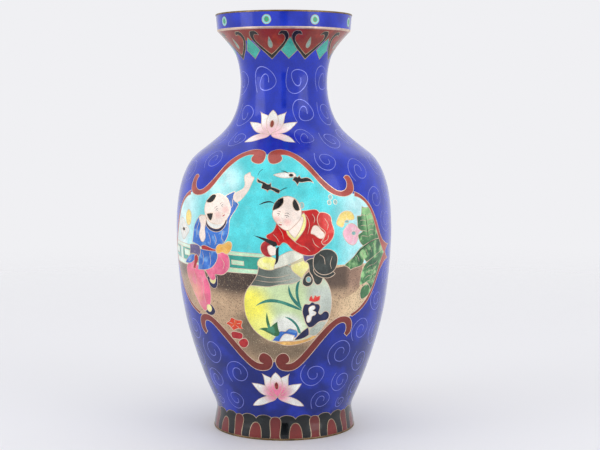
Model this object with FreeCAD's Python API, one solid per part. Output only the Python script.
import FreeCAD, Part
import math
import os
from FreeCAD import Vector

V2 = FreeCAD.Base.Vector2d

# A cloisonne vase: a hollow copper body of five raised shells and a base disc, gilt rims, and an
# enamel skin whose cells are parted by wires that stand on the copper. +Z is up, the foot stands on
# z = 0, and -Y is the front. All sizes are in millimetres.

# ---------------------------------------------------------------------------- driving dimensions
HEIGHT = 380.0            # foot to lip
ENAMEL = 0.9              # enamel and wires, on the outside
COPPER = 1.0              # body sheet
LINING = 0.4              # counter-enamel on the inside
RIM = 1.4                 # height of the gilt lip rim and foot rim
RIM_PROUD = 0.35          # how far the rims stand out
WIRE = 0.55               # width of a cell wire
SCROLL_WIRE = 0.62        # width of a scroll wire on the blue ground
LAP = 1.5                 # half height of a lap joint between two shells
GROOVE = 0.3              # half width and depth of a solder groove
LEAN = -0.045             # the pictures lean to the left by this much for each unit of height
BASE_Z = 14.0             # underside of the base disc
FOOT_TOP = 23.0           # top of the foot band
CORNER = (364.9, 60.9)    # height and radius of the sharp edge under the upright collar
COLLAR_TOP_R = 62.2
RING = 1.0                # height of the edge ring on each side of that corner
CHART_R = 100.0           # radius of the cylinder on which the flat designs are drawn
LEAST_CELL = 0.3          # area under which a leftover of a cell is left out

# Height and radius of the outside, from the foot to the corner under the collar.
PROFILE = [(0, 65.2), (10, 64.1), (20, 63.0), (30, 66.4), (50, 74.7), (80, 84.8), (110, 92.4),
           (145, 97.2), (180, 99.2), (205, 98.4), (225, 95.2), (240, 89.8), (252, 81.5), (262, 69.2),
           (272, 57.2), (285, 47.3), (300, 41.8), (316, 39.7), (332, 40.9), (345, 44.8),
           (355, 51.8), CORNER]
COLLAR = [CORNER, (HEIGHT, COLLAR_TOP_R)]

# Where the copper shells meet, from the foot up.
JOINTS = [("foot_ring", 21.0), ("lower_body", 150.0), ("upper_body", 262.0), ("neck", 338.0)]

# ---------------------------------------------------------------------------- layers of the wall


def curve_through(points):
    """A spline in the YZ plane whose parameter is the height of the outside at that place."""
    curve = Part.BSplineCurve()
    curve.interpolate(Points=[Vector(0, r, z) for _, r, z in points],
                      Parameters=[float(at) for at, _, _ in points])
    return curve


class Wall:
    """One stretch of the outside, and the layers at any depth under it."""

    def __init__(self, profile):
        self.outer = curve_through([(z, r, z) for z, r in profile])
        self.heights = [z for z, _ in profile]
        self.layers = {0.0: self.outer}

    def layer(self, depth):
        if depth not in self.layers:
            points = []
            for at in self.heights:
                place, along = self.outer.getD1(at)
                inward = Vector(0, -along.z, along.y).normalize()
                place = place + inward * depth
                points.append((at, place.y, place.z))
            self.layers[depth] = curve_through(points)
        return self.layers[depth]

    def point(self, at, depth):
        return self.layer(depth).value(at)

    def stretch(self, low, high, depth):
        """The layer's edge between two heights."""
        edge = self.layer(depth)
        return edge.toShape(low, high)

    def surface(self, depth):
        return Part.SurfaceOfRevolution(self.layer(depth), Vector(0, 0, 0), Vector(0, 0, 1))

    def scale(self, z):
        """Chart millimetres for one real millimetre, around the vase and up its slope."""
        place, along = self.outer.getD1(z)
        return CHART_R / place.y, abs(along.z) / along.Length


HALF_TURN = math.pi * CHART_R
BODY = Wall(PROFILE)
NECKBAND = Wall(COLLAR)


def corner_point(depth):
    """The corner under the collar, moved inward by a depth on both of its sides."""
    corner, below = BODY.outer.getD1(CORNER[0])
    above = NECKBAND.outer.getD1(CORNER[0])[1]
    n1 = Vector(0, -below.z, below.y).normalize()
    n2 = Vector(0, -above.z, above.y).normalize()
    return corner + (n1 + n2) * (depth / (1 + n1.dot(n2)))


def turned(edges):
    """A solid of revolution from the edges of a closed section."""
    wire = Part.Wire(Part.__sortEdges__(edges))
    return Part.Face(wire).revolve(Vector(0, 0, 0), Vector(0, 0, 1), 360)


def polygon(points):
    return [Part.makeLine(a, b) for a, b in zip(points, points[1:] + points[:1])
            if a.distanceToPoint(b) > 1e-6]


# ---------------------------------------------------------------------------- copper and rims
OUT, MID, IN = ENAMEL, ENAMEL + COPPER / 2, ENAMEL + COPPER
BARE = IN + LINING
RIM_Z = HEIGHT - RIM


def line(a, b):
    return Part.makeLine(a, b)


def shell(low, high):
    """A shell of the body between two joints, with a solder groove and half a lap at each end."""
    p = BODY.point
    edges = [BODY.stretch(low + LAP + GROOVE, high + LAP - GROOVE, OUT),
             line(p(high + LAP - GROOVE, OUT), p(high + LAP, OUT + GROOVE)),
             line(p(high + LAP, OUT + GROOVE), p(high + LAP, MID)),
             BODY.stretch(high - LAP, high + LAP, MID),
             line(p(high - LAP, MID), p(high - LAP, IN)),
             BODY.stretch(low - LAP, high - LAP, IN),
             line(p(low - LAP, IN), p(low - LAP, MID)),
             BODY.stretch(low - LAP, low + LAP, MID),
             line(p(low + LAP, MID), p(low + LAP, OUT + GROOVE)),
             line(p(low + LAP, OUT + GROOVE), p(low + LAP + GROOVE, OUT))]
    return turned(edges)


def foot_ring(high):
    p = BODY.point
    return turned([BODY.stretch(RIM, high + LAP - GROOVE, OUT),
                   line(p(high + LAP - GROOVE, OUT), p(high + LAP, OUT + GROOVE)),
                   line(p(high + LAP, OUT + GROOVE), p(high + LAP, MID)),
                   BODY.stretch(high - LAP, high + LAP, MID),
                   line(p(high - LAP, MID), p(high - LAP, IN)),
                   BODY.stretch(RIM, high - LAP, IN),
                   line(p(RIM, IN), p(RIM, OUT))])


def mouth(low):
    """The flared mouth and its upright collar, raised in one piece."""
    p, top = BODY.point, NECKBAND.point
    last = CORNER[0] - RING
    return turned([BODY.stretch(low + LAP + GROOVE, last, OUT),
                   line(p(last, OUT), corner_point(OUT)),
                   line(corner_point(OUT), top(RIM_Z, OUT)),
                   line(top(RIM_Z, OUT), top(RIM_Z, IN)),
                   line(top(RIM_Z, IN), corner_point(IN)),
                   line(corner_point(IN), p(last, IN)),
                   BODY.stretch(low - LAP, last, IN),
                   line(p(low - LAP, IN), p(low - LAP, MID)),
                   BODY.stretch(low - LAP, low + LAP, MID),
                   line(p(low + LAP, MID), p(low + LAP, OUT + GROOVE)),
                   line(p(low + LAP, OUT + GROOVE), p(low + LAP + GROOVE, OUT))])


def solder_seams():
    """A thin ring of solder in the groove over each lap joint."""
    p = BODY.point
    seams = []
    for _, z in JOINTS:
        z += LAP
        seams.append(turned(polygon([p(z - GROOVE, OUT), p(z + GROOVE, OUT), p(z, OUT + GROOVE)])))
    return seams


def base_disc():
    """The flat bottom, let into the foot ring."""
    top = BASE_Z + COPPER
    low, high = BODY.point(BASE_Z, IN), BODY.point(top, IN)
    return turned([line(Vector(0, 0, low.z), low), BODY.stretch(BASE_Z, top, IN),
                   line(high, Vector(0, 0, high.z)),
                   line(Vector(0, 0, high.z), Vector(0, 0, low.z))])


def base_enamel():
    """Counter-enamel on the underside of the base disc."""
    low, high = BODY.point(BASE_Z - LINING, IN), BODY.point(BASE_Z, IN)
    return turned([line(Vector(0, 0, low.z), low), BODY.stretch(BASE_Z - LINING, BASE_Z, IN),
                   line(high, Vector(0, 0, high.z)),
                   line(Vector(0, 0, high.z), Vector(0, 0, low.z))])


def lining():
    """Counter-enamel over the whole inside, floor and wall."""
    p, top = BODY.point, NECKBAND.point
    floor = BASE_Z + COPPER
    last = CORNER[0] - RING
    above = BODY.point(floor + LINING, BARE)
    outer = p(floor, IN)
    return turned([line(Vector(0, 0, outer.z), outer), BODY.stretch(floor, last, IN),
                   line(p(last, IN), corner_point(IN)), line(corner_point(IN), top(RIM_Z, IN)),
                   line(top(RIM_Z, IN), top(RIM_Z, BARE)),
                   line(top(RIM_Z, BARE), corner_point(BARE)),
                   line(corner_point(BARE), p(last, BARE)),
                   BODY.stretch(floor + LINING, last, BARE),
                   line(above, Vector(0, 0, above.z)),
                   line(Vector(0, 0, above.z), Vector(0, 0, outer.z))])


def lip_rim():
    """A gilt ring that caps the collar, with its upper edges rounded."""
    outer, inner = NECKBAND.point(RIM_Z, 0), NECKBAND.point(RIM_Z, BARE)
    ro, ri, bend = outer.y + RIM_PROUD, inner.y, RIM / 2
    low, top = outer.z, HEIGHT
    return turned([line(Vector(0, ri, low), Vector(0, ro, low)),
                   line(Vector(0, ro, low), Vector(0, ro, top - bend)),
                   Part.Arc(Vector(0, ro, top - bend),
                            Vector(0, ro - bend * (1 - math.sqrt(.5)), top - bend * (1 - math.sqrt(.5))),
                            Vector(0, ro - bend, top)).toShape(),
                   line(Vector(0, ro - bend, top), Vector(0, ri, top)),
                   line(Vector(0, ri, top), Vector(0, ri, low))])


def foot_rim():
    """The gilt ring that the vase stands on."""
    outer, inner = BODY.point(RIM, 0), BODY.point(RIM, IN)
    ro, ri, bevel = outer.y + RIM_PROUD, inner.y - RIM_PROUD, 0.4
    return turned(polygon([Vector(0, ri + bevel, 0), Vector(0, ro - bevel, 0), Vector(0, ro, bevel),
                           Vector(0, ro, RIM), Vector(0, ri, RIM), Vector(0, ri, bevel)]))


def edge_ring():
    """The wire along the sharp edge under the collar."""
    last = CORNER[0] - RING
    first = CORNER[0] + RING
    return turned([BODY.stretch(last, CORNER[0], 0.0),
                   line(BODY.point(CORNER[0], 0.0), NECKBAND.point(first, 0.0)),
                   line(NECKBAND.point(first, 0.0), NECKBAND.point(first, OUT)),
                   line(NECKBAND.point(first, OUT), corner_point(OUT)),
                   line(corner_point(OUT), BODY.point(last, OUT)),
                   line(BODY.point(last, OUT), BODY.point(last, 0.0))])


# ---------------------------------------------------------------------------- flat designs
# A design is drawn flat, on a chart whose x is CHART_R times the angle from the front and whose y is
# the height. Points are (x, z), or (x, z, S) at a sharp corner.
S = True


def area(points):
    return sum(a[0] * b[1] - b[0] * a[1] for a, b in zip(points, points[1:] + points[:1])) / 2


def runs_of(points):
    """The outline as runs of points, cut at its sharp corners. A smooth outline is one run."""
    if area(points) < 0:
        points = points[::-1]
    sharp = [k for k, point in enumerate(points) if len(point) > 2]
    places = [(float(point[0]), float(point[1])) for point in points]
    if not sharp:
        return [places], True
    places = places[sharp[0]:] + places[:sharp[0]]
    cuts = [k - sharp[0] for k in sharp] + [len(places)]
    places.append(places[0])
    return [places[a:b + 1] for a, b in zip(cuts, cuts[1:])], False


def spline(places, closed=False):
    points = [Vector(x, z, 0) for x, z in places]
    if len(points) == 2:
        return Part.LineSegment(*points).toShape()
    curve = Part.BSplineCurve()
    curve.interpolate(Points=points, PeriodicFlag=closed)
    return curve.toShape()


def directions(places, closed):
    """Unit directions along the outline at each of a run's points."""
    curve = spline(places, closed).Curve
    if len(places) == 2:
        along = Vector(places[1][0] - places[0][0], places[1][1] - places[0][1], 0).normalize()
        return [along, along]
    found = []
    for x, z in places:
        found.append(curve.tangent(curve.parameter(Vector(x, z, 0)))[0])
    if not closed:
        found[0] = curve.tangent(curve.FirstParameter)[0]
        found[-1] = curve.tangent(curve.LastParameter)[0]
    return found


def left_of(along, kx, kz):
    """The real unit normal, to the left of a chart direction."""
    real = Vector(along.x / kx, along.y / kz, 0).normalize()
    return Vector(-real.y, real.x, 0)


class Sheet:
    """A flat design on one wall. What is laid first lies over what is laid later."""

    def __init__(self, wall, lean=0.0):
        self.wall = wall
        self.lean = lean
        self.outside = wall.surface(0.0)
        self.inside = wall.surface(ENAMEL)
        self.masks = []
        self.pieces = []

    def moved(self, points):
        middle = HEIGHT / 2
        return [(p[0] + self.lean * (p[1] - middle),) + tuple(p[1:]) for p in points]

    def offset(self, runs, closed, by):
        """The runs moved inward by a real distance, or outward if it is negative."""
        normals = []
        for run in runs:
            row = []
            for (x, z), along in zip(run, directions(run, closed)):
                kx, kz = self.wall.scale(z)
                row.append((left_of(along, kx, kz), kx, kz))
            normals.append(row)
        moved = []
        limit = 8.0 if by > 0 else 2.0
        for k, run in enumerate(runs):
            new = []
            for i, (x, z) in enumerate(run):
                normal, kx, kz = normals[k][i]
                shift = normal * by
                other = None
                if not closed and i == 0:
                    other = normals[k - 1][-1][0]
                if not closed and i == len(run) - 1:
                    other = normals[(k + 1) % len(runs)][0][0]
                if other is not None:
                    both = normal + other
                    stretch = 2.0 / max(both.dot(both), 1e-9)
                    shift = both * (by * min(stretch, limit / max(both.Length, 1e-9)))
                new.append((x + shift.x * kx, z + shift.y * kz))
            moved.append(new)
        if not closed:
            for k, run in enumerate(moved):
                moved[k - 1][-1] = run[0]
        return moved

    def face(self, runs, closed, by=0.0):
        if by:
            runs = self.offset(runs, closed, by)
        edges = [spline(run, closed) for run in runs]
        return Part.Face(Part.Wire(edges))

    def seen(self, face):
        """What is left of a face beside all that was laid before."""
        box = face.BoundBox
        over = [mask for mask in self.masks if mask.BoundBox.intersect(box)]
        return face.cut(over).Faces if over else [face]

    def lay(self, node, points, wire=WIRE, wires="picture_wires", inside=None):
        """Lay one cell and the wire around it. With no node it only hides what lies under it."""
        runs, closed = runs_of(self.moved(points))
        outer = self.face(runs, closed, -wire / 2)
        if inside:
            outer = outer.common(inside).Faces[0]
        if node:
            core = outer
            if wire:
                core = self.face(runs, closed, wire / 2)
                if inside:
                    core = core.common(inside).Faces[0]
                band = outer.cut(core)
                for face in band.Faces:
                    self.keep(wires, self.seen(face))
            self.keep(node, self.seen(core))
        self.masks.append(outer)

    def lay_wire(self, node, points):
        face = self.face(*runs_of(self.moved(points)))
        self.keep(node, self.seen(face))
        self.masks.append(face)

    def keep(self, node, faces):
        for face in faces:
            if face.Area > LEAST_CELL:
                self.pieces.append((node, face))

    def solids(self):
        """Every piece as a solid between the outside and the copper, sorted by node."""
        found = {}
        for node, face in self.pieces:
            found.setdefault(node, []).append(skin(face, self.outside, self.inside))
        return found


def flat_curve(edge):
    """The edge's curve as a curve on the wall's surface."""
    curve = edge.Curve.toBSpline(edge.FirstParameter, edge.LastParameter)
    if curve.isPeriodic():
        curve.setNotPeriodic()
    if edge.Orientation == "Reversed":
        curve.reverse()
    poles = [V2(math.pi + p.x / CHART_R, p.y) for p in curve.getPoles()]
    flat = Part.Geom2d.BSplineCurve2d()
    flat.buildFromPolesMultsKnots(poles, curve.getMultiplicities(), curve.getKnots(), False,
                                  curve.Degree, curve.getWeights())
    return flat


def turns_left(curves):
    samples = 16
    places = []
    for curve in curves:
        first, last = curve.FirstParameter, curve.LastParameter
        places += [curve.value(first + (last - first) * k / samples) for k in range(samples)]
    return sum(places[i - 1].x * places[i].y - places[i].x * places[i - 1].y
               for i in range(len(places))) > 0


def oriented(wire, left):
    curves = [flat_curve(edge) for edge in wire.OrderedEdges]
    if turns_left(curves) != left:
        curves.reverse()
        for curve in curves:
            curve.reverse()
    return curves


def skin(face, outside, inside):
    """A solid between two surfaces, over one flat face with its holes."""
    outer = face.OuterWire
    wires = [outer] + [wire for wire in face.Wires if not wire.isSame(outer)]
    walls = []
    covers = [None, None]
    for k, wire in enumerate(wires):
        curves = oriented(wire, k == 0)
        rims = []
        for i, surface in enumerate((outside, inside)):
            edges = [curve.toShape(surface) for curve in curves]
            rims.append(edges)
            rim = Part.Wire(edges)
            covers[i] = Part.Face(covers[i], rim) if k else Part.Face(surface, rim)
        walls += [Part.makeRuledSurface(a, b) for a, b in zip(*rims)]
    shape = Part.Compound(covers + walls)
    shape.sewShape()
    solid = Part.Solid(shape.Shells[0])
    if solid.Volume < 0:
        solid.reverse()
    return solid


def mirrored(points):
    return [(-p[0],) + tuple(p[1:]) for p in points]


def both_sides(right):
    """A closed outline from its right half, which runs from the middle line to the middle line."""
    left = [p for p in mirrored(right)[::-1] if abs(p[0]) > 1e-9]
    return right + left


def rosette(x, z, rx, rz, petals):
    """A flower head: an oval whose rim goes in between the petals."""
    count = 2 * petals
    reach = [1.0 if k % 2 else 0.72 for k in range(count)]
    return [(x + rx * r * math.cos(2 * math.pi * k / count), z + rz * r * math.sin(2 * math.pi * k / count))
            for k, r in enumerate(reach)]


def oval(x, z, rx, rz, count=8):
    return [(x + rx * math.cos(2 * math.pi * k / count), z + rz * math.sin(2 * math.pi * k / count))
            for k in range(count)]


# ---------------------------------------------------------------------------- where the bands repeat
# The decoration is worked out over half a turn and repeated for the back. These are the middles of the
# four cloud collars of one half, spaced by hand, so the gaps differ a little.
LAPPETS = [-88.3, -9.2, 61.6, 140.0]
HALF_START = (LAPPETS[0] + LAPPETS[-1]) / 2 - HALF_TURN / 2
SIDE = -HALF_TURN / 2     # the middle of the blue strip between the two pictures
FOOT_REPEATS = 11
FOOT_FIRST = 3.1          # chart place of the first tall strip


def strip(x0, x1, z0, z1):
    return [(x0, z0, S), (x1, z0, S), (x1, z1, S), (x0, z1, S)]


# ---------------------------------------------------------------------------- foot band
def foot_band():
    """One of the repeats of the foot band: a tall strip, a low arch on black, and blue above."""
    sheet = Sheet(BODY)
    half = math.pi * CHART_R / FOOT_REPEATS
    tall = both_sides([(0, 20.8), (4.2, 20.3), (7.2, 18.2), (7.8, 13.5), (7.8, RIM, S)])
    tall = [(x + half, *rest) for x, *rest in tall]
    ghost = [(x - 2 * half, *rest) for x, *rest in tall]
    arch = both_sides([(0, 15.2), (4, 14.3), (7.6, 10.5), (9.0, 5.5), (9.2, RIM, S)])
    lobes = both_sides([(0, 18.9, S), (3, 20.8), (9, 22.2), (17, 22.0), (24, 19.4, S), (24, RIM, S)])
    sheet.lay("foot_strips", tall, wires="band_wires")
    sheet.lay(None, ghost)
    sheet.lay("foot_arches", arch, wires="band_wires")
    sheet.lay("foot_black", lobes, wires="band_wires")
    sheet.lay("ground_blue", strip(-half, half, RIM, FOOT_TOP), wire=0)
    found = {}
    for node, solids in sheet.solids().items():
        found[node] = []
        for k in range(FOOT_REPEATS):
            angle = math.degrees((FOOT_FIRST + half) / CHART_R) + 360.0 * k / FOOT_REPEATS
            for solid in solids:
                copy = solid.copy()
                copy.rotate(Vector(0, 0, 0), Vector(0, 0, 1), angle)
                found[node].append(copy)
    return found


# ---------------------------------------------------------------------------- collar
def collar():
    """The upright blue collar and its row of dots, over half a turn."""
    sheet = Sheet(NECKBAND)
    middle = 372.0
    stretch = CHART_R / COLLAR_TOP_R
    for x in LAPPETS:
        sheet.lay("dot_cores", oval(x, middle, 2.3 * stretch, 2.4), wires="band_wires")
        sheet.lay("dot_rings", oval(x, middle, 4.1 * stretch, 4.1), wires="band_wires")
    first = CORNER[0] + RING
    sheet.lay("collar_blue", strip(HALF_START, HALF_START + HALF_TURN, first, RIM_Z), wire=0)
    return sheet.solids()


# ---------------------------------------------------------------------------- cloud collars
def cloud_collars(sheet):
    """Under the mouth: red cloud collars with black hooks, and a diamond in each gap."""
    top = CORNER[0] - RING
    hooks = both_sides([(0, 338.3, S), (7, 341.2), (13, 343.9), (19.5, 346.6), (25, 349.6), (30, 353.3),
                        (33, 357.6), (30.5, 361.3), (25, 362.3), (19, 361.5), (16.5, 359, S), (20.5, 359.5),
                        (24.8, 358.9), (27.0, 356.3), (24.5, 353), (19, 350), (13, 347.2), (6, 344.4),
                        (0, 342.5, S)])
    field = both_sides([(0, 340.4, S), (13, 345.6), (25, 351.2), (30, 356.5), (31, 360, S), (26, top, S)])
    drop = both_sides([(0, 357.6, S), (1.6, 355.4), (3.3, 352.9), (4.2, 350.7), (2.8, 348.8), (0, 348.1)])
    diamond = both_sides([(0, 338.6, S), (16.5, 346.2, S), (0, 357.0, S)])

    def at(points, x):
        return [(p[0] + x, *p[1:]) for p in points]

    ghost = LAPPETS[-1] - HALF_TURN
    gaps = [(a + b) / 2 for a, b in zip([ghost] + LAPPETS, LAPPETS)]
    for x in LAPPETS:
        sheet.lay("lappet_drops", at(drop, x), wires="band_wires")
        sheet.lay("lappet_black", at(hooks, x), wires="band_wires")
    sheet.lay(None, at(hooks, ghost))
    sheet.lay(None, at(hooks, LAPPETS[0] + HALF_TURN))
    for x in LAPPETS:
        sheet.lay("lappet_red", at(field, x), wire=0)
    for x in gaps:
        sheet.lay("diamonds", at(diamond, x), wires="band_wires")
    sheet.lay(None, at(diamond, gaps[0] + HALF_TURN))
    sheet.lay(None, at(field, ghost), wire=0)
    sheet.lay("lappet_red", strip(HALF_START, HALF_START + HALF_TURN, 354.5, top), wire=0)


# ---------------------------------------------------------------------------- lotus blooms
def placed(points, x, z, wall):
    """Real offsets (across, up the slope) round a place on the wall, as chart points."""
    step = 0.5
    out = []
    for u, s, *rest in points:
        at, left = z, abs(s)
        while left > 0:
            go = min(step, left)
            at += math.copysign(go * wall.scale(at)[1], s)
            left -= go
        out.append((x + u * wall.scale(at)[0], at, *rest))
    return out


def lotus(sheet, x, z):
    top = [(0, 18.5, S), (3.2, 14.8), (5.2, 9), (3.6, -1), (0, -7, S), (-3.6, -1), (-5.2, 9), (-3.2, 14.8)]
    upper = [(-12, 17.2, S), (-7.5, 14.6), (-3.5, 12), (-1, 4), (0, -7, S), (-5.5, -2.5), (-9.8, 4),
             (-10.4, 10)]
    middle = [(-22, 6.8, S), (-15.5, 6.3), (-9, 4.5), (-3, 0), (0, -7, S), (-7, -6), (-14, -3.5),
              (-18.6, 1.5)]
    lower = [(-23, -17, S), (-18.5, -11), (-11.5, -6.8), (-5, -5.2), (0, -5.5, S), (-1.5, -8.8),
             (-6.5, -12), (-14, -15.5)]
    sheet.lay("crimson", placed(oval(0, 5, 1.9, 3.9), x, z, BODY), wires="lotus_wires")
    for petal in (top, upper, mirrored(upper), middle, mirrored(middle), lower, mirrored(lower)):
        sheet.lay("lotus_petals", placed(petal, x, z, BODY), wires="lotus_wires")


# ---------------------------------------------------------------------------- scroll wires
# Places of the scrolls' middles: (x, z, radius, which way they wind).
SCROLLS = [(-95, 320, 13.6, 1), (-20, 319, 13.6, -1), (54, 321, 13.6, 1), (128, 320, 13.6, -1),
           (-128, 291, 13, -1), (-66, 290, 13, 1), (63, 291, 13, -1), (120, 291, 13, 1),
           (-137, 268, 12, 1), (-95, 267, 12.4, -1), (-52, 268, 10.6, 1),
           (51, 269, 11, -1), (92, 267, 12.4, 1), (134, 268, 12, -1)]
SIDE_SCROLLS = [(64, 250, 12, 1), (101, 241, 13.6, -1), (139, 245, 13, 1),
                (116, 216, 12.4, -1), (144, 220, 10.4, 1), (134, 195, 12.4, 1),
                (140, 147, 12.4, -1), (119, 124, 11.4, 1), (146, 119, 10.4, 1),
                (98, 99, 13, -1), (129, 93, 13.6, 1), (74, 80, 14.4, -1), (109, 69.5, 12.6, 1),
                (144, 65, 13.4, -1), (44, 62, 13.4, 1), (83, 52.6, 12, 1), (119, 43, 12.4, -1),
                (59, 35.6, 11.6, -1), (94, 31, 6.6, 1), (147, 37, 9.6, 1)]
SCROLL_TURNS = 1.7
SCROLL_SPANS = 8          # spans along each side of a scroll
SCROLL_EYE = 0.2          # radius where the wire ends, as a share of the scroll's


def scroll(sheet, x, z, radius, way):
    """One flat spiral of wire, as a narrow outline."""
    left, right = [], []
    for k in range(SCROLL_SPANS + 1):
        share = k / SCROLL_SPANS
        turn = way * (2.3 + 2 * math.pi * SCROLL_TURNS * share)
        reach = radius * (1 - (1 - SCROLL_EYE) * share)
        across, up = math.cos(turn), math.sin(turn)
        left.append((across * (reach - SCROLL_WIRE / 2), up * (reach - SCROLL_WIRE / 2)))
        right.append((across * (reach + SCROLL_WIRE / 2), up * (reach + SCROLL_WIRE / 2)))
    for row in (left, right):
        for end in (0, -1):
            row[end] = (*row[end], S)
    sheet.lay_wire("scroll_wires", placed(left + right[::-1], x, z, BODY))


# ---------------------------------------------------------------------------- frame of the picture
def frame_bands(sheet):
    """The brick-red scrolled bands round the picture, the right half and its mirror image."""
    top = [(15.2, 254.5, S), (22, 254.2), (29, 251.6), (36, 246.8), (46, 236.6), (54, 227.4),
           (61, 222), (70, 219.2), (79, 219.6), (85.4, 223.6), (86.4, 230.5), (84.3, 236, S),
           (80.4, 236.8), (77.3, 235, S), (79.3, 230.4), (77.4, 226), (71.5, 223.6), (61, 228.2),
           (51, 237.9), (42, 248.3), (33, 254.6), (22, 258.3), (9, 258.8), (1.4, 255), (3.2, 248.8),
           (10.5, 247.5), (16.6, 251.3)]
    side = [(86.2, 222.8, S), (95, 218.7), (103, 212.2), (109.6, 203), (116, 190), (121.6, 180.6),
            (129.6, 175.5), (140, 173, S), (134.5, 170), (131, 166.5, S), (134.5, 163), (140, 160, S),
            (130, 158.2), (121, 152), (114, 141.8), (107, 131), (98, 121.6), (89, 116),
            (81.5, 112.8, S), (79, 115, S), (91, 120.5), (101, 128.8), (109, 139.2), (117, 153.2),
            (127.8, 166.5, S), (118.6, 176.8), (111.4, 190), (104, 206), (95.4, 214.8),
            (85.5, 218.8, S)]
    bottom = [(74.2, 98, S), (78, 95, S), (81.5, 98, S), (82.9, 103.6), (80.6, 110.2), (74.5, 113.6),
              (66, 113.4), (56, 108), (44, 97), (34, 86.2), (25, 77.6), (18.4, 73.6), (12.6, 73, S),
              (16.2, 77.4), (12.2, 82.4), (5.2, 81.2), (1.5, 75.6), (4, 69), (11.5, 66.2), (21, 67.2),
              (30, 72.8), (39.5, 82), (50, 93.4), (60, 103), (67, 107.6), (73.5, 107.4), (75.7, 103.6)]
    for band in (top, side, bottom):
        for points in (band, mirrored(band)):
            sheet.lay("frame_bands", points, wires="frame_wires")


def picture_edge():
    """The middle line of the frame's bands, which bounds the picture."""
    return both_sides([(0, 255), (15, 256.9), (24, 255.8), (33, 251.4), (41, 245.4), (48.5, 237.8),
                       (55, 230), (61.5, 224.8), (69, 222), (80, 221.8), (88.5, 219.8), (95, 216.8),
                       (101, 211.4), (106, 204.6), (110.5, 196), (114.5, 188), (118.5, 180.6),
                       (124, 174.7), (129.4, 166.5, S), (124, 158.6), (116.5, 150), (110.5, 139.8),
                       (105.5, 131.8), (100, 125.4), (93.5, 120.4), (87, 117.2), (78, 112.5),
                       (72, 111.2), (65, 109.4), (58, 105.6), (50, 98.4), (42, 89.9), (35, 82.5),
                       (28, 75.6), (20, 70), (12, 69), (5, 70.5), (0, 74.5)])


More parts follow.
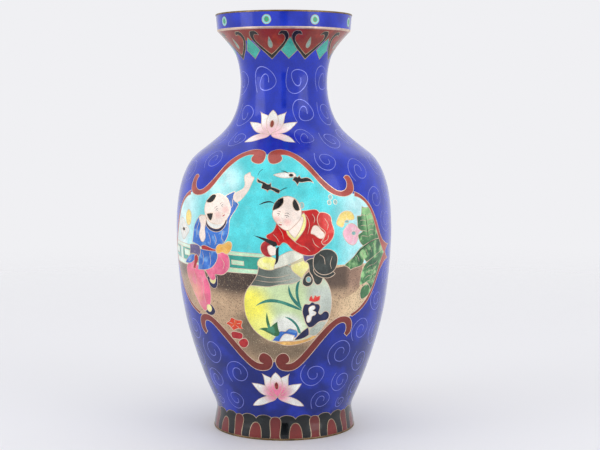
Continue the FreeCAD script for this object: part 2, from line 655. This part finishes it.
# ---------------------------------------------------------------------------- the picture, figures
def boy_in_red(lay):
    lay("black", [(-11.5, 186.8, S), (-4, 185.2), (3, 183.2), (8.2, 181.2, S), (9.2, 178.8),
                  (6, 177.2, S), (2.5, 179.6), (-3, 182.8)], wire=0)
    lay("black", [(10.9, 177.2, S), (8.4, 175.6), (7.6, 171.5), (7.4, 166.5), (6.3, 161.5, S), (9.4, 165),
                 (10.2, 170)], wire=0)
    lay("black", [(16, 219, S), (16.2, 214.8), (12.6, 210.6), (6.5, 208.2, S), (8, 213), (11.5, 217.2)])
    lay("black", [(26.2, 218, S), (29, 213.8), (30.2, 208.6, S), (27, 208), (24.6, 211), (24.4, 215)])
    lay("black", [(-5.6, 212.6, S), (-1, 215.2), (4.5, 216), (9, 213.5, S), (4.5, 214.9), (-1, 214)],
        wire=0)
    lay("jade", [(31, 214.4, S), (34, 213.6), (33.8, 210.8), (31, 210.4, S)])
    lay("skin", [(8.2, 209), (6.2, 204.5), (8, 199.6), (11, 195.6), (15, 192.2), (19.4, 191.2),
                 (24, 194.4), (29, 199.2), (31.6, 205), (31, 211.4), (27.8, 217), (22, 220),
                 (15.5, 219.4), (10.8, 214.6)])
    lay("skin", [(32.6, 202.5), (31.6, 195.6), (28.6, 189.6), (24.8, 184.6, S), (21.6, 187.4),
                 (19.4, 191.2), (26, 200)])
    lay("cream", [(33.6, 206, S), (35.2, 199.6), (34.0, 193.4), (30.2, 187.4), (25, 181.6, S), (20.8, 185),
                  (17.6, 190.6), (24, 198, S)])
    lay("skin", [(40, 192), (42.5, 195), (46, 194), (48.6, 190.6), (51, 188), (50.2, 184.4), (46.6, 184),
                 (43.6, 186), (39.6, 188)])
    lay("light_red", [(48, 206, S), (54, 205.4), (58, 202.2), (58.8, 196.6), (60.4, 191.6),
                      (59.6, 185), (56, 180.4), (51, 178), (48, 181, S), (51, 185), (52, 189),
                      (48, 193), (45.4, 198)])
    lay("bright_red", [(9.4, 199, S), (8.2, 193.6), (4.6, 189.2), (0.2, 186.4), (0.6, 184.4, S),
                       (9.4, 178.4, S), (11.6, 178.4), (14, 180.6), (17, 180.2), (21, 176),
                       (26, 172.6), (32, 170), (39, 169.4), (44, 171.2), (48.6, 174.8), (53, 178, S),
                       (53, 190), (52, 205.6), (47.6, 206), (46.5, 207.4), (40, 208.6),
                       (30, 208.4, S), (29.6, 203), (29, 196), (25, 186), (17, 192)])
    lay("skin", [(1.4, 177.6), (5.2, 178.6), (8, 176), (7.8, 171), (4.4, 169.6), (1.6, 172)])
    lay("crimson", [(0.5, 182.4, S), (-3.4, 180.4), (-5.4, 176.4), (-4, 171.4), (-0.6, 168.6),
                    (3.8, 168.8, S), (3.6, 174), (6.4, 179.4, S)])
    lay("charcoal", [(40, 163), (41.2, 168.6), (46, 172.8), (52.4, 174.4), (58.6, 172.8),
                     (62.6, 168.6), (62.8, 162), (60.2, 156.2), (54.8, 152.8), (48.4, 152.4),
                     (43, 155.2), (40.4, 159)])
    lay("charcoal", [(42.4, 160, S), (40.2, 156), (42.8, 152.4), (48.4, 149.8), (55.4, 149.6),
                     (60.8, 152.6, S), (56, 155.4), (49, 155.6), (44.6, 158)])
    lay("jade", [(35, 151, S), (33.2, 148.6), (34.4, 146.4), (37, 146.6), (37.6, 149.2)])
    lay("charcoal", [(36.2, 155.6, S), (33, 153.2), (30.4, 148.6), (30.4, 144.6), (33.4, 142.6),
                     (37.6, 143.6), (39.6, 147), (38.6, 151)])
    lay("charcoal", [(33.4, 164.4, S), (38, 166.6), (43.4, 166.4, S), (44.4, 160), (45.6, 155.2),
                     (49.8, 152, S), (48.2, 147.8), (46.4, 144.6), (43.6, 143.6), (40.6, 146.4),
                     (39, 151.4), (36.6, 155.4), (36.2, 160)])
    lay("purple", [(32, 170.8, S), (38, 169.6), (44, 171.6, S), (41, 166.6), (37.6, 163.8), (33.4, 163.6),
                   (31.4, 167)])


def jar(lay):
    lay("jar_mouth", [(5.4, 158.2, S), (12, 159.8), (20, 162.6), (27, 165.6), (31.6, 167.8, S),
                      (31, 171), (26.6, 173.2), (20.6, 173.4), (14.6, 171.2), (9.4, 167.8), (6.6, 163)])
    lay("cream", [(-8.8, 161), (-7.6, 165.6), (-3.4, 168.4), (2.4, 168.8), (7.4, 166.6), (9, 161.4),
                  (6, 158), (0, 157), (-5, 158)])
    lay("cream", [(20, 161.5, S), (27, 163.8), (33, 166, S), (38, 160.6), (35.4, 157.6), (32.2, 153.8),
                  (29.4, 149.6, S), (24.6, 153.6), (21, 157.4)])
    lay("jar_shoulder", [(-8.4, 159.4, S), (-9.6, 153.6), (-13, 148), (-16.8, 143.2, S), (-8, 142.8),
                         (2, 142.8), (10, 144.4), (20, 145.2), (29.6, 149.8, S), (24, 156),
                         (16, 161.6), (6, 160)])
    long_leaf = [(-13.8, 124.6, S), (-8, 129), (0, 131.6), (8, 131), (16, 128.6), (23.4, 125.4),
                 (29.4, 121.2, S), (22, 123.4), (14.6, 126.2), (7, 128.4), (0, 128.8), (-7, 127.6)]
    inner_leaf = [(28.8, 122.2, S), (24, 126), (19.4, 131.8), (17.2, 138), (17.8, 144.2, S), (19.2, 138.4),
                  (21.8, 133), (26, 128)]
    tall_leaf = [(29, 123, S), (25, 129.6), (23.4, 138), (25, 145.4), (28.8, 150.2, S), (26.9, 144.6),
                 (26, 138), (26.6, 131.4)]
    arc_leaf = [(12.6, 116, S), (18, 114.8), (23, 110.8), (26.2, 106), (27.8, 101, S), (26, 101),
                (24, 105.4), (21, 110), (17, 113.4)]
    tuft = [(-13, 104.4, S), (-8.2, 105.8), (-3.4, 106, S), (-4.6, 112), (-3.4, 120, S), (-2.2, 113),
            (-0.9, 106.8, S), (1.6, 108.8), (6, 111.8, S), (6.2, 106), (7.6, 101.4, S), (4.6, 98.4),
            (0, 99.6), (-4, 101.6)]
    for leaf in (long_leaf, inner_leaf, tall_leaf, arc_leaf, tuft):
        lay("jar_leaves", leaf, wire=0)
    lay("light_red", [(35.4, 130, S), (36.2, 133, S), (38, 134.8, S), (39.4, 131.4, S), (41.2, 134.6, S),
                     (43, 133.4, S), (46.4, 134, S), (45.6, 130, S), (41, 128.6)])
    lay("white", [(35.2, 121), (36.4, 124.4), (41, 124.8), (41, 122.6), (39, 121), (42, 119.4), (41, 117),
                  (38.4, 116), (37.4, 112.6), (34.4, 110.6), (33.2, 112.8), (35, 117)])
    lay("navy", [(29.6, 118), (30, 124), (32, 127), (36, 126.9), (38.4, 128.6), (41, 127.2), (44.6, 126.6),
                 (46, 123), (44.8, 118.6), (47, 117.4), (50, 119.6), (54, 119), (55.4, 115.6), (54, 112.6),
                 (50, 111.4), (45.4, 110.6), (41, 107.4), (36, 106), (32.8, 109), (31.2, 113)])
    lay("navy", [(34.8, 106, S), (35.6, 103), (35.6, 99.4, S), (31, 96.6), (26, 95.2), (21, 94.6, S),
                 (24, 98), (28, 101.6), (31.6, 104.4)])
    lay("white", [(6.8, 93.8, S), (9, 97.4), (12.4, 100.4), (17, 100), (21.4, 99, S), (20.2, 94.2, S)])
    lay("mid_blue", [(-1.6, 94.4, S), (2.6, 97.4), (5.6, 101.2), (9, 103.2), (13, 103), (16, 105),
                     (20.6, 104.6), (24, 103), (24.6, 100), (22, 97, S), (8, 93.4, S)])
    lay("jar_shoulder", [(36.4, 99.4, S), (36.8, 104), (41, 107.6), (46.6, 110.8), (53.2, 109.6, S),
                         (48.4, 103.6), (42, 98.6)])
    lay("orange", [(2.6, 93.8, S), (10, 94), (20, 93.8), (30, 95), (40, 98.4, S), (44.6, 98.2, S),
                   (38, 94.6), (30, 92), (20, 90.2), (10, 90.4)])
    lay("jar_body", [(-16.6, 143.6, S), (-20.6, 138.8), (-23.4, 132.6), (-24.4, 125), (-23.8, 117),
                     (-21, 109.6), (-16.4, 103), (-10.6, 98.2), (-4, 94.6), (3, 92.8), (14, 92),
                     (26, 92.4), (38, 95.8), (48, 103), (53.6, 110), (56.6, 118), (57.6, 126),
                     (57, 134), (54.6, 142), (49.2, 149.4, S), (30, 154, S), (0, 154, S)])


def boy_in_blue(lay):
    lay("black", [(-60.4, 214.2, S), (-56.6, 213), (-52.8, 213.8), (-48.2, 219.8, S), (-51.4, 220.6),
                  (-56.2, 218)])
    lay("black", [(-58.8, 203.6, S), (-55, 204.2), (-51.4, 204.4, S), (-51.8, 200.8), (-54, 197.8),
                  (-57, 199.8)])
    lay("skin", [(-61.8, 206), (-60.8, 212.4), (-56.4, 217.6), (-50, 220.6), (-43.2, 221),
                 (-37, 217.8), (-33, 212.6), (-32.4, 206.8), (-35.4, 201), (-41, 196.4), (-48, 195),
                 (-54.8, 196.6), (-59.6, 200.8)])
    lay("skin", [(-28.8, 221.6, S), (-24, 224.2), (-19.4, 227.6), (-19.2, 232), (-20, 237.2),
                 (-17.4, 239), (-15, 240), (-13.4, 236.8), (-10.8, 235.8), (-12, 231.6), (-14.6, 226),
                 (-18.4, 220.8), (-23, 216.2), (-26.4, 214.6, S), (-29.6, 217.6)])
    lay("skin", [(-69.2, 199.6), (-65.6, 201.6), (-60.2, 200.6), (-59.8, 196), (-61.4, 190.4),
                 (-61, 185), (-62.2, 180.6), (-65.2, 178.6), (-68, 181), (-69.2, 185.2), (-67.4, 190),
                 (-67, 194.6)])
    lay("white", [(-59.2, 199, S), (-57.2, 194.2), (-51.6, 191.4), (-45.4, 191.4), (-40, 194.8),
                  (-37.2, 200.4, S), (-41.4, 203), (-48, 200), (-54.6, 201)])
    lay("navy", [(-60.2, 198, S), (-58.4, 192.2), (-52.4, 188.8), (-45.8, 188.4), (-40, 191.4),
                 (-36.6, 196.6), (-35.8, 202.4, S), (-38, 202, S), (-40.6, 196), (-46.4, 193),
                 (-52.6, 193.2), (-57.6, 197)], wire=0.4)
    lay("orange", [(-48.4, 169.8, S), (-48.8, 174), (-45, 177.6), (-40.4, 178), (-36, 180.4),
                   (-32.4, 179.8), (-32.2, 175.4), (-34.4, 171.6), (-38, 169.4), (-42.4, 170.8),
                   (-45.4, 169.6)])
    lay("crimson", [(-67.4, 174.4, S), (-62, 175.6), (-55, 173.8), (-48.8, 173.2, S),
                    (-48.8, 171.4, S), (-56, 171.4), (-66.4, 172, S)], wire=0.4)
    lay("mid_blue", [(-36.4, 202, S), (-33, 208), (-33.6, 214), (-38, 219.4, S), (-33, 222),
                     (-28.4, 223.8, S), (-28, 218), (-24.4, 213, S), (-28.4, 206.4), (-33, 199.4),
                     (-34, 192), (-35.6, 185.4), (-39.6, 179.4), (-44, 176.4), (-50, 173, S),
                     (-66, 173, S), (-73, 175.6), (-80.6, 177.2, S), (-78.4, 184), (-76.6, 191),
                     (-73, 196.6), (-67.4, 202, S), (-60.4, 202, S), (-58, 192)])
    lay("crimson", [(-75, 167, S), (-73, 162.4), (-76.4, 157.6), (-78.2, 153.6, S), (-82.6, 154.2, S),
                    (-79.6, 160), (-78.6, 165, S)], wire=0.4)
    lay("purple", [(-85, 174.8, S), (-78, 175.6), (-70, 175, S), (-69, 169), (-72, 164.8, S),
                   (-78, 167), (-86, 166.4, S), (-85, 170.6)])
    lay("mid_blue", [(-70.6, 172.6, S), (-60, 171.6), (-49, 172, S), (-47.6, 167.4), (-50.2, 161.4),
                     (-55.4, 156.8), (-63, 154.2), (-74.4, 153.6, S), (-72.6, 160), (-71.4, 166)])
    lay("pink", [(-49, 170, S), (-42, 170.8), (-37, 169.2), (-35.2, 164), (-36, 158), (-39.6, 153.4),
                 (-46, 150.8), (-52.4, 150.4), (-51.6, 147.6, S), (-57, 145.6), (-60.6, 149),
                 (-66, 153.6, S), (-58, 156)])
    lay("mid_blue", [(-97, 157.8, S), (-90.6, 162.8), (-84, 166), (-76.6, 166, S), (-80, 161),
                     (-88, 157.8)])
    lay("cream", [(-59.4, 145.6, S), (-57.4, 142.8), (-54.4, 142.6), (-52.4, 145), (-52.6, 149, S),
                  (-56.6, 149)],
        wire=0.4)
    lay("navy", [(-62.6, 148, S), (-60.4, 141.8), (-56.6, 138.4), (-52.6, 139), (-50.4, 142.8),
                 (-50.2, 149.6, S), (-56, 150)], wire=0.4)
    lay("cream", [(-68.4, 120, S), (-67, 117.2), (-63.6, 116.8), (-61.6, 119.2), (-63.2, 122.6, S),
                  (-66, 123)],
        wire=0.4)
    lay("pink", [(-75, 166, S), (-73.6, 157), (-66, 153.6), (-64.4, 149), (-61.6, 144), (-60, 137),
                 (-60.4, 130), (-62.4, 123.6, S), (-67.6, 119.4, S), (-72, 116.8), (-77, 119.6),
                 (-81.6, 126), (-86.6, 133), (-91.4, 140), (-94.8, 147), (-95.2, 153), (-90, 157.8),
                 (-83, 160)])
    lay("navy", [(-72.4, 118.4, S), (-70, 115.2), (-65.6, 113.6), (-60, 114.4), (-57.4, 117.4),
                 (-59, 121.2), (-62.8, 124, S), (-66, 121)], wire=0.4)


# ---------------------------------------------------------------------------- the picture, setting
def bats(lay):
    lay("black", [(-7, 235.2, S), (-5.6, 231.4), (-2.4, 230.2), (-3.2, 227.4), (-0.6, 226),
                  (2.2, 223.2, S), (4.6, 225.6), (8.6, 224.2), (12.6, 222.6, S), (14, 225, S),
                  (9, 227.2), (5.8, 228, S), (5.6, 231.6, S), (2.8, 230.2), (0, 231.6), (-3.4, 232.8)])
    lay("black", [(25.6, 233.6, S), (28, 236.4), (30.6, 236, S), (32.6, 237.8, S), (33.6, 235.4),
                  (38, 235.8), (42.4, 234.4), (44.8, 231, S), (40, 232.4), (35, 231.8),
                  (31.6, 232, S), (29.6, 229.2, S), (28, 232.2)])
    lay("black", oval(24.6, 237.8, 2.2, 1.4))
    lay("white", [(8, 238, S), (14, 239.6), (20, 240), (27, 240, S), (29, 237.4), (24, 235.8), (15, 235.8)])


def flowers(lay):
    lay("orange_red", rosette(-36.4, 107.8, 9.8, 5.9, 5))
    lay("crimson", [(-42.6, 99), (-38.4, 101), (-34, 100.6), (-29.8, 99), (-30.4, 95.8),
                    (-35.6, 94.2), (-41.2, 94.6)])
    lay("crimson", [(-35.8, 91.4, S), (-32.4, 94.2), (-26.4, 94.8), (-24.8, 92), (-28.2, 87.2),
                    (-32.6, 86.8)])
    lay("jade", oval(74, 197.4, 2.2, 1.2), wire=0.4)
    lay("flower_yellow", [(64, 198.6), (66.6, 203), (71.2, 206), (76.4, 206.4), (81.4, 203.6),
                          (82.4, 199.4), (78, 198.4), (72, 197.6), (70.6, 194.2), (65.4, 193.8)])
    lay("jade", oval(81, 186.8, 2.3, 1.7), wire=0.4)
    lay("flower_pink", [(69.4, 187.8), (72.4, 192.4), (76.4, 195.2), (82, 194.6), (86, 191.4),
                        (91.8, 188.2, S), (86.2, 185), (85.2, 180.4), (80.6, 176.6), (75.4, 178),
                        (71, 182.4)])
    for x, z in ((59.5, 219), (63.8, 214.6), (57.8, 214.4)):
        lay("jade", oval(x, z, 1.8, 2.0), wire=0.4)
    lay("flower_yellow", oval(-86.6, 198.6, 5.2, 7))
    lay("black", oval(-96.8, 187.6, 3, 1.5), wire=0.4)
    lay("white", [(-108.4, 190), (-104, 196.4), (-97.4, 197), (-92, 192.6), (-85.4, 187.6),
                  (-90.4, 182.6), (-97, 178.6), (-103, 183)])


def banana_leaves(lay):
    lay("leaf", [(93.2, 209.6, S), (99, 208.4), (106.4, 208.6), (112, 200), (118, 190),
                 (124, 178.6, S), (106, 179), (99, 177.2), (92.6, 175, S), (88.4, 178.6),
                 (86, 185, S), (91.8, 187.6, S), (86, 190.8, S), (86, 201.6, S), (91, 201.4, S)])
    lay("leaf", [(69.6, 159, S), (76, 163.2), (81, 166.6), (85.6, 171), (92, 175), (100, 178),
                 (108, 180.6), (124, 182, S), (130, 172, S), (113, 166), (105, 163.2),
                 (97, 160.4, S), (93.6, 163.4, S), (90, 157.8), (83.4, 156.6), (77.4, 154.6, S),
                 (74, 157.6)])
    lay("leaf", [(99.6, 161, S), (106, 163.8), (113, 168), (121, 175, S), (132, 175, S), (128, 160),
                 (120.5, 150.6), (112, 140), (105, 134, S), (102, 139.4), (98, 142, S), (93, 140.8), (88.6, 140.4, S),
                 (89.6, 147.4, S), (91.4, 153.4), (95.4, 158.4)])
    lay("leaf", [(95.6, 139.6, S), (91.4, 137), (90, 133), (93, 127.2, S), (98, 128.4), (103.4, 131.2, S),
                 (104.6, 136.6), (100, 140)])


def rail(lay, inside):
    """A low balustrade: a pale coping, a teal panel with pale insets, and a pale foot rail."""
    lay("rail_pale", [(-33, 164.6, S), (-21.5, 163.9, S), (-21.5, 160.4, S), (-33, 161.1, S)])
    lay("rail_pale", [(-97, 170.2, S), (-86, 169.4, S), (-86, 164.2, S), (-97, 165, S)])
    lay("rail_pale", [(-107, 172.4, S), (-101, 172, S), (-101, 160.6, S), (-107, 161, S)])
    lay("rail_pale", [(-124, 171, S), (-112, 170.6, S), (-112, 165.4, S), (-124, 165.8, S)], inside=inside)
    lay("rail_teal", [(-140, 173.6, S), (-60, 170.2, S), (0, 167.8, S), (0, 156.6, S), (-60, 158.6, S),
                      (-140, 163, S)], inside=inside)
    lay("rail_pale", [(-140, 177, S), (-60, 173.2, S), (0, 170.6, S), (0, 153, S), (-60, 154.6, S),
                      (-140, 158, S)],
        inside=inside)


def picture():
    """The picture panel, its frame, and everything on the blue ground, over half a turn."""
    sheet = Sheet(BODY)
    cloud_collars(sheet)
    sheet.lean = LEAN
    frame_bands(sheet)
    runs, closed = runs_of(sheet.moved(picture_edge()))
    inside = sheet.face(runs, closed)

    boy_in_red(sheet.lay)
    jar(sheet.lay)
    boy_in_blue(sheet.lay)
    bats(sheet.lay)
    flowers(lambda node, points, **more: sheet.lay(node, points, inside=inside, **more))
    banana_leaves(lambda node, points, **more: sheet.lay(node, points, inside=inside, **more))
    sheet.lay("mound", [(50, 157.6, S), (62, 157.6), (74, 158.4), (84, 157), (90, 160), (94, 163, S),
                        (91, 150), (88, 138), (78, 132.6), (66, 129.6), (56, 133), (50, 145)], wire=0)
    rail(sheet.lay, inside)
    sheet.lay("sky", [(-140, 165, S), (140, 158, S), (140, 262, S), (-140, 262, S)], inside=inside)
    sheet.lay("sand", [(-140, 60, S), (140, 60, S), (140, 166, S), (-140, 166, S)], wire=0, inside=inside)

    lotus(sheet, 0.5, 47)
    lotus(sheet, -1.5, 277)
    for x, z, radius, way in SCROLLS:
        scroll(sheet, x, z, radius, way)
    for x, z, radius, way in SIDE_SCROLLS:
        scroll(sheet, x, z, radius, way)
        scroll(sheet, -x, z, radius, -way)
    sheet.lean = 0.0
    left = [(SIDE, FOOT_TOP, S), (SIDE, 300, S), (HALF_START, 338, S), (HALF_START, 356, S)]
    right = [(x + HALF_TURN, z, s) for x, z, s in left]
    sheet.lay("ground_blue", left + right[::-1], wire=0)
    return sheet.solids()


# ---------------------------------------------------------------------------- all parts
def repeated(found):
    """The front half's solids and their copies on the back."""
    whole = {}
    for node, solids in found.items():
        copies = [solid.copy() for solid in solids]
        for copy in copies:
            copy.rotate(Vector(0, 0, 0), Vector(0, 0, 1), 180)
        whole[node] = solids + copies
    return whole


def build():
    parts = {"foot_rim": [foot_rim()], "lip_rim": [lip_rim()], "edge_ring": [edge_ring()],
             "base_disc": [base_disc()], "base_enamel": [base_enamel()], "lining_enamel": [lining()],
             "solder_seams": solder_seams(), "foot_ring": [foot_ring(JOINTS[0][1])],
             "mouth": [mouth(JOINTS[-1][1])]}
    for (_, low), (name, high) in zip(JOINTS, JOINTS[1:]):
        parts[name] = [shell(low, high)]
    for group in (foot_band(), repeated(collar()), repeated(picture())):
        for node, solids in group.items():
            parts.setdefault(node, []).extend(solids)
    return parts


def main():
    os.makedirs("parts", exist_ok=True)
    for node, solids in sorted(build().items()):
        bad = [k for k, solid in enumerate(solids) if not solid.isValid() or not solid.isClosed()]
        shape = solids[0] if len(solids) == 1 else Part.makeCompound(solids)
        shape.exportStep("parts/" + node + ".step")
        print("%-16s %4d solids %10.0f mm3 %s" % (node, len(solids), shape.Volume, bad or ""))


main()
